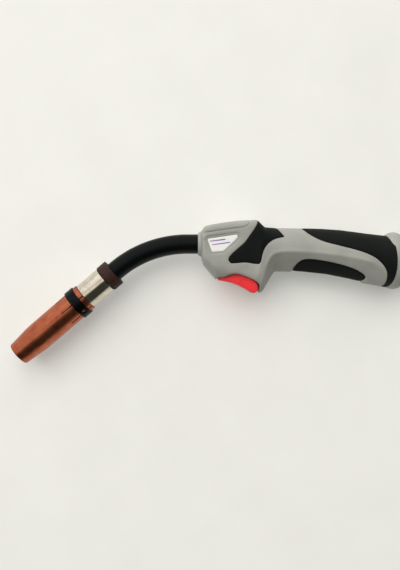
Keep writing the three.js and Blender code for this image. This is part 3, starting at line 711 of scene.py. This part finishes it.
ridgeGrid = ridgeField()
frontSection = halfSection(handle["frontX"])
skinRows = [lipCircle(10.2, 3.1) * (1 - k / 6) + frontSection * (k / 6) for k in range(6)]
skinRows += [halfSection(x) for x in np.arange(handle["frontX"], handle["frontX"] + 2, 0.08)]
skinRows += [halfSection(x) for x in np.linspace(handle["frontX"] + 2, handle["rearX"],
                                                 int((handle["rearX"] - 5) / rowStep))]
skinTable = np.array(skinRows)
rowAlong = np.r_[0, np.cumsum(np.sqrt((np.diff(skinTable, axis=0) ** 2).sum(axis=2).mean(axis=1)))]
alongRow = np.gradient(skinTable, axis=0)
alongColumn = np.gradient(skinTable, axis=1)
skinNormals = np.cross(alongColumn, alongRow)
skinNormals[:, [0, -1], 2] = 0
skinNormals /= np.maximum(np.linalg.norm(skinNormals, axis=2, keepdims=True), 1e-9)
skinNormals *= np.sign(skinNormals[200, columns // 2, 2])
halfGirth = 60  # a usual half girth: the second coordinate of the flattened skin runs from 0 to this


def onSkin(table, q, s):
    row = np.interp(q, rowAlong, np.arange(len(rowAlong)))
    return between(table, row, np.asarray(s) / halfGirth * (columns - 1))


sideRows = np.arange(6, len(skinRows))
sideX = skinTable[6:, 0, 0]


def toFlat(x, y):
    # side view to the flattened skin, or None off the handle
    if x > handle["rearX"] or x < handle["frontX"]:
        return None
    row = np.interp(x, sideX, sideRows)
    r = min(int(row), len(skinRows) - 2)
    heights = skinTable[r, :, 1] * (r + 1 - row) + skinTable[r + 1, :, 1] * (row - r)
    if y < heights[0] or y > heights[-1]:
        return None
    return (np.interp(row, np.arange(len(rowAlong)), rowAlong),
            np.interp(y, heights, np.linspace(0, halfGirth, columns)))


def softened(outline, hold=1.3):
    # a smooth closed line, with tighter bends at the outline's real corners
    places = [Vector(p) for p in outline]
    line = []
    for i, here in enumerate(places):
        into = (here - places[i - 1]).normalized()
        out = (places[(i + 1) % len(places)] - here).normalized()
        if into.angle(out) > math.radians(38):
            line += [here - into * min(hold, (here - places[i - 1]).length / 2), here,
                     here + out * min(hold, (places[(i + 1) % len(places)] - here).length / 2)]
        else:
            line.append(here)
    return cutCorners(np.array([tuple(p) for p in line]))


def flatRuns(line, step):
    # the stretches of a closed side-view line that lie on the handle, on the flattened skin
    loop = np.vstack([line, line[:1]])
    length = np.linalg.norm(np.diff(loop, axis=0), axis=1).sum()
    loop = evenly(loop, max(12, int(length / step)))[:-1]
    flat = [toFlat(x, y) for x, y in loop]
    if all(p is not None for p in flat):
        return [flat + flat[:1]]
    first = next(i for i, p in enumerate(flat) if p is None)
    runs, run = [], []
    count = len(loop)
    for k in range(count):
        i, j = (first + k) % count, (first + k + 1) % count
        if flat[i] is not None:
            run.append(flat[i])
        if (flat[i] is None) != (flat[j] is None):
            good, bad = (loop[i], loop[j]) if flat[j] is None else (loop[j], loop[i])
            for _ in range(14):
                half = (good + bad) / 2
                good, bad = (half, bad) if toFlat(*half) else (good, half)
            q, s = toFlat(*good)
            s = 0 if s < 0.5 else halfGirth if s > halfGirth - 0.5 else s
            q = rowAlong[-1] if q > rowAlong[-1] - 0.1 else q
            if flat[j] is None:
                runs.append(run + [(q, s)])
                run = []
            else:
                run = [(q, s)]
    return [r for r in runs if len(r) > 1]


outlines = {
    "arch": [(16.5, -60), (16.5, -29.9), (22.3, -29.6), (26.6, -27.7), (30.2, -26.5), (33.6, -26.4),
             (38.4, -27.5), (46, -30.4), (50.5, -33.1), (53.4, -36), (53.4, -60)],
    "top_cover": [(4.4, 8.4), (20.8, 11), (35.4, 12.8), (40.4, 13.6), (42.7, 15.1), (45.2, 18.5), (47.4, 26),
                  (4.4, 26)],
    "front_pad": [(69.6, 13.7), (75.4, 5.5), (67.2, 3.8), (61.7, 0.6), (57.7, -4.4), (55.7, -9.6),
                  (54.5, -16.2), (52.5, -18.5), (47.8, -18.2), (41.2, -16.9), (34.6, -17.6), (28.4, -17.9),
                  (26.1, -15.2), (27, -11.4), (33.3, -5.8), (40.4, 0.2), (43.1, 4.1), (47.8, 10.7),
                  (51.5, 16.8), (52.6, 26), (70.2, 26)],
    "palm_pad": [(91.9, 26), (91.7, 13), (96.2, 8.4), (103, 3.9), (110.7, 0.7), (123.7, -2.6), (136.6, -6),
                 (146.2, -9.4), (153.9, -13.7), (159.1, -19.2), (162.1, -27.8), (162.4, -50), (180, -50),
                 (180, 26)],
    "finger_pad": [(82.4, -50), (83.2, -24.1), (86.4, -18.9), (90.6, -15.4), (96.5, -14.4), (107.7, -15.8),
                   (121, -18.4), (134.4, -22.4), (142.1, -26.3), (146, -29.4), (146.7, -31.4),
                   (145.7, -33.2), (143.4, -34.4), (142.6, -37), (142.6, -50)],
    "label": rounded([(7.9, 3.4), (34.1, 7.1), (34.4, 4.3), (22.1, -7.2), (12, -8.1)],
                     [1.7, 1.7, 1.5, 2, 1.9], 6),
}
labelPanel = {"border": 1.9, "drop": 0.5, "step": 0.5, "groove": 0.3}  # sunk round the label, soft-edged
fingerBorder = {"width": 1.7, "drop": 1.2, "padLevel": -1.15}  # the bevel down to the finger pad
screwPlaces = [(11, -18), (76, -17), (92, 4), (150, -26)]
screw = {"head": 2.8, "sink": 2.5, "recess": 3.15, "shank": 1.5, "reach": 8.5}
softLines = {name: np.array(line) if name == "label" else softened(line) for name, line in outlines.items()}
for k, (x, y) in enumerate(screwPlaces):
    turns = np.linspace(0, 2 * math.pi, 28, endpoint=False)
    softLines["screw_%d" % (k + 1)] = np.stack(
        [x + screw["recess"] * np.cos(turns), y + screw["recess"] * np.sin(turns)], axis=1)


def grown(line, by):
    before, after = np.roll(line, 1, axis=0), np.roll(line, -1, axis=0)
    along = after - before
    out = np.stack([along[:, 1], -along[:, 0]], axis=1) / np.linalg.norm(along, axis=1, keepdims=True)
    return line - out * by if insideOf(line, *(line + out * 0.01)[:1].T)[0] else line + out * by


softLines["labelFrame"] = grown(softLines["label"], labelPanel["border"])
boundaries = [name for name in softLines if name != "labelFrame"]


skinMesh = {
    "outlineStep": 0.75, "edgeStep": 0.8,  # between points along an outline, and along the skin's edges
    "offsets": (0.3, 0.65, 1.1, 1.6),  # rows of points beside every outline
    "spacing": 1.25, "clear": 1.9,  # between points elsewhere, and how far those stay from an outline
    "cell": 0.28,  # no second point in one of these
    "exactStep": 0.12,  # for measuring how far a point is from an outline
}


def nearestTree(places):
    tree = KDTree(len(places))
    for i, place in enumerate(places):
        tree.insert(place, i)
    tree.balance()
    return tree


def meshSkin():
    # One triangle mesh of the flattened half skin, with rows of points along every outline.
    edgeStep, cell = skinMesh["edgeStep"], skinMesh["cell"]
    runs = {name: flatRuns(line, skinMesh["outlineStep"]) for name, line in softLines.items()}
    seam = [[(q, s) for q in np.arange(0, rowAlong[-1] + edgeStep / 2, edgeStep).clip(0, rowAlong[-1])]
            for s in (0, halfGirth)]
    exact = {name: np.vstack([onSkin(skinTable, *np.array(run).T)
                              for run in flatRuns(line, skinMesh["exactStep"])])
             for name, line in softLines.items()}
    tree = nearestTree(np.vstack(list(exact.values())))
    points, edges, kept = [], [], set()

    def keep(q, s):
        kept.add((round(q / cell), round(s / cell)))
        points.append((float(q), float(s)))

    for group in [*runs.values(), seam]:
        for run in group:
            for k, (q, s) in enumerate(run):
                if k:
                    edges.append((len(points) - 1, len(points)))
                keep(q, s)
    for end in (0, rowAlong[-1]):
        for s in np.arange(edgeStep, halfGirth - edgeStep / 2, edgeStep):
            keep(end, s)
    girths = np.linalg.norm(np.diff(skinTable, axis=1), axis=2).sum(axis=1)

    def offer(q, s, least):
        if not 0.15 < q < rowAlong[-1] - 0.15 or not 0.12 < s < halfGirth - 0.12:
            return
        if (round(q / cell), round(s / cell)) in kept:
            return
        if tree.find(Vector(onSkin(skinTable, np.array(q), np.array(s))))[2] > least:
            keep(q, s)

    for name, group in [*runs.items(), ("seam", seam)]:
        for run in group:
            line = np.array(run)
            scale = np.interp(line[:, 0], rowAlong, girths) / halfGirth
            real = line * np.stack([np.ones_like(scale), scale], axis=1)
            along = np.gradient(real, axis=0)
            out = np.stack([along[:, 1], -along[:, 0]], axis=1)
            out /= np.maximum(np.linalg.norm(out, axis=1, keepdims=True), 1e-9)
            for offset in skinMesh["offsets"]:
                for side in (-1, 1):
                    moved = real + out * offset * side
                    for q, s in zip(moved[:, 0], moved[:, 1] / scale):
                        offer(q, s, 0.85 * offset if name != "seam" else 0.25)
    spacing, clear = skinMesh["spacing"], skinMesh["clear"]
    for i, q in enumerate(np.arange(0.4, rowAlong[-1], spacing)):
        for s in np.arange(2.1 + spacing / 2 * (i % 2), halfGirth - clear, spacing):
            offer(q, s, clear)
    made = delaunay_2d_cdt([Vector(p) for p in points], edges, [], 0, 1e-5)
    flat = np.array([tuple(p) for p in made[0]])
    return flat, np.array([tuple(f) for f in made[2]]), exact


flatPoints, skinFaces, exactLines = meshSkin()
skinPoints = onSkin(skinTable, *flatPoints.T)
pointNormals = onSkin(skinNormals, *flatPoints.T)
pointNormals /= np.linalg.norm(pointNormals, axis=1, keepdims=True)
corners = skinPoints[skinFaces]
facing = np.einsum("ij,ij->i", np.cross(corners[:, 1] - corners[:, 0], corners[:, 2] - corners[:, 0]),
                   pointNormals[skinFaces[:, 0]])
skinFaces[facing < 0] = skinFaces[facing < 0][:, ::-1]


def distances(name):
    tree = nearestTree(exactLines[name])
    return np.array([tree.find(p)[2] for p in skinPoints])


awayFrom = {name: distances(name) for name in softLines}
fromSeam = np.minimum(flatPoints[:, 1], halfGirth - flatPoints[:, 1])
centres = skinPoints[skinFaces].mean(axis=1)
flatCentres = flatPoints[skinFaces].mean(axis=1)
centres[:, 0] = np.interp(flatCentres[:, 0], rowAlong, skinTable[:, 0, 0])  # as the outlines are placed
owner = np.array(["shell"] * len(skinFaces), dtype=object)
onSide = flatCentres[:, 0] > rowAlong[6]
for name in boundaries:
    owner[insideOf(softLines[name], centres[:, 0], centres[:, 1]) & onSide] = name
print("skin meshed:", len(flatPoints), "points,", len(skinFaces), "faces")


def dip(distance, depth, width):
    return -depth * np.exp(-(distance / width) ** 2)


def ease(value):
    value = np.clip(value, 0, 1)
    return value * value * (3 - 2 * value)


lips = {  # how each edge is rounded over: depth and width on the shell's side, then on the piece's
    "top_cover": (0.5, 0.5, 0.5, 0.5), "front_pad": (0.35, 0.45, 0.55, 0.7),
    "palm_pad": (0.35, 0.45, 0.55, 0.7), "finger_pad": (0.35, 0.45, 0.4, 0.7), "label": (0.3, 0.3, 0.25, 0.3),
    "arch": (0.6, 0.8, 0, 1),
}


def shellHeight(isLeft):
    height = dip(fromSeam, 0.22, 0.4)
    for name, (depth, width, _, _) in lips.items():
        if name != "label" or isLeft:
            height = height + dip(awayFrom[name], depth, width)
    height = height - fingerBorder["drop"] * np.clip(1 - awayFrom["finger_pad"] / fingerBorder["width"], 0, 1)
    if isLeft:
        inPanel = insideOf(softLines["labelFrame"], skinPoints[:, 0], skinPoints[:, 1]) * 2 - 1
        sunk = ease(0.5 + inPanel * awayFrom["labelFrame"] / labelPanel["step"])
        height = height - labelPanel["drop"] * sunk
        height = height + dip(awayFrom["labelFrame"], labelPanel["groove"], 0.4)
    else:
        for k in range(len(screwPlaces)):
            height = height + dip(awayFrom["screw_%d" % (k + 1)], 0.3, 0.4)
    return height


def padHeight(name):
    _, _, depth, width = lips[name]
    level = fingerBorder["padLevel"] if name == "finger_pad" else 0
    crown = 0.12 * ease(awayFrom[name] / 4)
    return level + crown + dip(awayFrom[name], depth, width) + dip(fromSeam, 0.2, 0.5)


def skinPiece(owners, height, depth, seamGap=True):
    # The named regions lifted by height, with a copy depth below, closed all round.
    faces = skinFaces[np.isin(owner, owners)]
    used, local = np.unique(faces, return_inverse=True)
    faces = local.reshape(-1, 3)
    outer = skinPoints[used] + pointNormals[used] * height[used, None]
    directed = {(face[i - 1], face[i]) for face in faces for i in range(3)}
    rim = {i for a, b in directed if (b, a) not in directed for i in (a, b)}
    pull = np.zeros_like(outer)
    for face in faces:
        middle = outer[face].mean(axis=0)
        for i in face:
            if i in rim:
                pull[i] += middle - outer[i]
    length = np.linalg.norm(pull, axis=1, keepdims=True)
    outer += np.where(length > 0, pull / np.maximum(length, 1e-9), 0) * handle["seam"]
    inner = outer - pointNormals[used] * depth
    if seamGap:
        low = handle["seam"] / 2
        outer[:, 2], inner[:, 2] = np.maximum(outer[:, 2], low), np.maximum(inner[:, 2], low)
    return closedSkin(outer, inner, faces.tolist())


def welded(shape):
    # both halves of a piece that crosses the middle plane, joined along it
    points, faces = shape
    points = [tuple(p) for p in points]
    whole = [(x, y, 0 if abs(z) < 0.05 else z) for x, y, z in points]
    other = {i: i if whole[i][2] == 0 else len(whole) + i for i in range(len(whole))}
    faces = [face for face in faces if any(whole[i][2] for i in face)]
    otherFaces = [[other[i] for i in reversed(face)] for face in faces]
    return whole + [(x, y, -z) for x, y, z in whole], faces + otherFaces


def flankHeight(x, y):
    flat = toFlat(x, y)
    return float(onSkin(skinTable, *map(np.array, flat))[2]) if flat else 0.5


trigger = {
    "outline": [(17.4, -31), (17.9, -32.2), (25.8, -33.4), (30.9, -34.8), (38.1, -37.7), (45.4, -42),
                (47.6, -43.5), (50.3, -42.9), (52, -41.4), (52.4, -37.5), (51.3, -34.4), (48, -31),
                (44, -28), (43, -24.8), (25.6, -24.8), (24, -23.4), (20.2, -23.4), (17.6, -25.4)],
    "halfWidth": 9.3, "edge": 1,
    "spread": [(17.4, 1), (24, 1.25), (34, 1.55), (52, 1.6)],  # wider towards the finger
}
triggerOpening = {
    "frontX": 16.4, "rearX": 54, "roof": -21, "side": 15.4, "gap": 0.5,
    "endPlates": [(13.6, 16.5), (53.5, 57)],
}


def triggerWell():
    # the inside of the trigger's opening in the left half: side block, roof and two end plates
    frontX, rearX, roof = triggerOpening["frontX"], triggerOpening["rearX"], triggerOpening["roof"]
    edge = evenly(softLines["arch"], 400)
    edge = [p for p in edge if p[1] > -38 and frontX < p[0] < rearX]
    edge = [p for p in edge if p[1] > lines["bottom"](p[0]) + 0.15]
    edge = sorted(edge, key=lambda p: p[0])[::3]
    points = []
    for x, y in edge:
        reach = flankHeight(x, y + 0.05) - 0.5
        side = triggerOpening["gap"] + trigger["halfWidth"] * np.interp(x, *zip(*trigger["spread"]))
        points += [(x, y, reach), (x, y, side), (x, roof + 4, side), (x, roof + 4, reach + 0.2)]
    last = 4 * (len(edge) - 1)
    faces = ringFaces(len(edge), 4) + [[3, 2, 1, 0], [last, last + 1, last + 2, last + 3]]
    ceiling = blockShape((frontX, roof, 0.08), (rearX, roof + 1.8, triggerOpening["side"] + 0.5))
    shapes = [(points, faces), ceiling]
    for x0, x1 in triggerOpening["endPlates"]:
        x = x1 if x0 < 30 else x0
        heights = np.linspace(max(lines["bottom"](x0), lines["bottom"](x1)) + 0.35, roof + 1, 14)
        profile = [(y, max(0.3, min(flankHeight(x0 + 0.01, y), flankHeight(x1, y)) - 0.55)) for y in heights]
        ring = [(y, 0.08) for y in (heights[-1], heights[0])] + profile
        plate = [(x0, y, z) for y, z in ring] + [(x1, y, z) for y, z in ring]
        n = len(ring)
        shapes.append((plate, [list(range(n))[::-1], list(range(n, 2 * n))] + ringFaces(2, n)))
    return joinShapes(*map(outward, shapes))


def blockShape(low, high):
    points = [(x, y, z) for x in (low[0], high[0]) for y in (low[1], high[1]) for z in (low[2], high[2])]
    return points, [[0, 1, 3, 2], [4, 6, 7, 5], [0, 4, 5, 1], [2, 3, 7, 6], [0, 2, 6, 4], [1, 5, 7, 3]]


def halfTurned(profile, centre, sides=48):
    # a ring about the handle's own line, left half only
    quarter = math.pi / 2 - 0.004  # stops just short of the other half
    return outward(turned(profile, centre, (1, 0, 0), sides, sweep=(-quarter, quarter)))


lipRadius, lipBore = handle["lipRadius"], handle["lipBore"]
lipProfile = rounded([(lipBore, 0), (lipRadius - 1.4, 0), (lipRadius + 0.1, 2.5), (lipRadius + 0.1, 3.6),
                      (lipRadius - 1, 5), (lipBore, 5)], [0.3, 0.5, 0.8, 0.1, 0.1, 0.1])
frontLip = halfTurned(lipProfile, (0, 0, 0))


def arcAlong(radius, centreX, lift, stations):
    # (radius, distance) pairs on a circle whose centre stands lift off the axis
    return [(lift + math.sqrt(radius ** 2 - (x - centreX) ** 2), x) for x in stations]


seatFront = arcAlong(rearEnd["frontSeat"], rearEnd["ballX"], 0, np.linspace(170.2, 163, 9))
rearSpigot = halfTurned([(20.3, 163), (20.3, 170.2)] + seatFront, (0, rearEnd["axisY"], 0))
screwOwners = ["screw_%d" % (k + 1) for k in range(len(screwPlaces))]

leftShell = joinShapes(skinPiece(["shell"] + screwOwners, shellHeight(True), handle["wall"]),
                       triggerWell(), frontLip, rearSpigot)
newPiece("left_shell", leftShell, "grey_plastic", instead=["handle_shell_left"])
screwWells = []
for x, y in screwPlaces:
    face = flankHeight(x, y)
    well = rounded([(1.8, face - 6.5), (4.5, face - 6.5), (4.5, face - 1.9), (3.05, face - 1.9),
                    (3.05, face - 4.6), (1.8, face - 4.6)], 0.15, 2)
    screwWells.append(outward(turned(well, (x, y, 0), (0, 0, 1), 40)))
rightShell = mirrored(joinShapes(skinPiece(["shell", "label"], shellHeight(False), handle["wall"]),
                                 triggerWell(), frontLip, rearSpigot, *screwWells))
newPiece("right_shell", rightShell, "grey_plastic", instead=["handle_shell_right"])

for name in ("front_pad", "palm_pad", "finger_pad"):
    shape = skinPiece([name], padHeight(name), handle["padDepth"])
    newPiece("soft_" + name + "_left", shape, "black_rubber", instead=[name + "_left"], sharp=60)
    newPiece("soft_" + name + "_right", mirrored(shape), "black_rubber", instead=[name + "_right"], sharp=60)

coverHeight = dip(awayFrom["top_cover"], *lips["top_cover"][2:])
newPiece("head_cover", welded(skinPiece(["top_cover"], coverHeight, handle["wall"], False)), "grey_plastic",
         instead=["top_cover"])
labelHeight = dip(awayFrom["label"], *lips["label"][2:]) - labelPanel["drop"] + 0.1
newPiece("printed_label", skinPiece(["label"], labelHeight, 0.7), "white_label", instead=["label_plate"])

labelBars = [((10.4, 1.3), (23.6, 2.9), 0.95), ((12.2, -1.8), (27.6, 0.3), 0.8)]
bars = []
for (x0, y0), (x1, y1), high in labelBars:
    top, base = [], []
    for k in range(13):
        for side in (-0.5, 0.5):
            x, y = x0 + (x1 - x0) * k / 12, y0 + (y1 - y0) * k / 12 + side * high
            z = flankHeight(x, y)
            top.append((x, y, z - labelPanel["drop"] + 0.15))
            base.append((x, y, z - labelPanel["drop"] - 0.1))
    strip = [[2 * k, 2 * k + 2, 2 * k + 3, 2 * k + 1] for k in range(12)]
    bars.append(outward(closedSkin(top, base, strip)))
newPiece("label_bars", joinShapes(*bars), "ink", sharp=60)
print("handle made")

# ---- screws, trigger

for k, (x, y) in enumerate(screwPlaces):
    top = flankHeight(x, y) - screw["sink"]
    shank, tip = screw["shank"], -screw["reach"]
    profile = rounded([(0.35, tip), (shank, tip + 1.2), (shank, top - 2), (screw["head"], top - 2),
                       (screw["head"], top), (1.35, top), (1.2, top - 1.2),
                       (0.35, top - 1.4)], [0, 0.1, 0.1, 0.25, 0.8, 0.1, 0.1, 0], 3)
    inDrive = [i for i, (r, d) in enumerate(profile) if d > top - 1.3 and r < 1.5]
    shape = turned(profile, (x, y, 0), (0, 0, -1), 48, lobes=(inDrive[0], inDrive[-1], 6, 0.13))
    newPiece("lobed_screw_%d" % (k + 1), shape, "steel", instead=["handle_screw_%d" % (k + 1)])


def triggerShape():
    line = evenly(np.vstack([softened(trigger["outline"]), softened(trigger["outline"])[:1]]), 161)[:-1]
    n, edge, wide = len(line), trigger["edge"], trigger["halfWidth"]
    inward = []
    for k in range(7):
        turn = math.pi / 2 * k / 6
        inward.append((edge * (1 - math.cos(turn)), wide - edge + edge * math.sin(turn)))
    rings = [(by, -z) for by, z in reversed(inward)] + [(0, z) for z in (-6, -3, 0, 3, 6)] + inward
    points = []
    for by, z in rings:
        sunk = 0.35 * (abs(z) < 5)  # a shallow hollow for the finger along the middle
        ring = grown(line, -by)
        points += [(x, y + (sunk if y < -33 else 0), z * np.interp(x, *zip(*trigger["spread"])))
                   for x, y in ring]
    faces = ringFaces(len(rings), n) + [list(range(n))[::-1], list(range(len(points) - n, len(points)))]
    return outward((points, faces))


newPiece("red_trigger", triggerShape(), "red_plastic", "trigger", ["trigger"], 50)
print("trigger made")

# ---- rear collar, ball and cable socket

def alongX(name, profile, look, body, instead, sides=120):
    newPiece(name, turned(profile, (0, rearEnd["axisY"], 0), (1, 0, 0), sides), look, body, instead)


beadStart, beadEnd = rearEnd["beadStart"], rearEnd["beadEnd"]
beadArc = arcAlong(rearEnd["beadRadius"], rearEnd["beadX"], rearEnd["beadCentre"],
                   np.linspace(beadStart, beadEnd, 25))
seatArc = arcAlong(rearEnd["seat"], rearEnd["ballX"], 0, np.linspace(180.3, 170.7, 12))
alongX("collar_bead", beadArc + [(16.8, beadEnd)] + seatArc + [(20.7, 170.7), (20.7, beadStart)],
       "grey_plastic", "handle", ["rear_collar"])
ballX, ballRadius = rearEnd["ballX"], rearEnd["ballRadius"]
ballArc = [(ballRadius * math.sin(a), ballX + ballRadius * math.cos(a))
           for a in np.linspace(math.acos(-12 / ballRadius), math.acos(12.5 / ballRadius), 30)]
alongX("ball", ballArc + rounded([(11.2, 186.5), (10.95, 186.2), (10.95, 162.3), (11.2, 162)], 0.05, 2),
       "black_plastic", "swivel_ball", ["swivel_ball"])
socketProfile = rounded([(7.5, 160.5), (11.5, 160.5), (11.5, 161.7), (10.6, 161.7), (10.6, 186.8),
                         (12.5, 186.8), (12.5, 193), (7.5, 193)], [0.3, 0.3, 0.2, 0.1, 0.1, 0.5, 1.0, 0.8])
alongX("inlet_socket", socketProfile, "black_plastic", "cable_socket", ["cable_socket"])

# ---- pieces kept from the CAD, given their real finishes

keptLooks = {
    "neck_core": "brass", "wire_liner": "steel", "neck_nut": "brass", "cable_connector": "brass",
    "sleeve_insulator": "phenolic", "gas_diffuser": "ceramic", "microswitch_body": "black_plastic",
    "switch_plunger": "red_plastic", "control_lead_1": "black_rubber", "control_lead_2": "red_plastic",
    "lead_splice_1": "ceramic", "lead_splice_2": "ceramic", "trigger_pin": "steel",
}
for name, look in keptLooks.items():
    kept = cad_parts[name]
    for k in range(len(kept.material_slots)):
        kept.material_slots[k].material = looks[look]
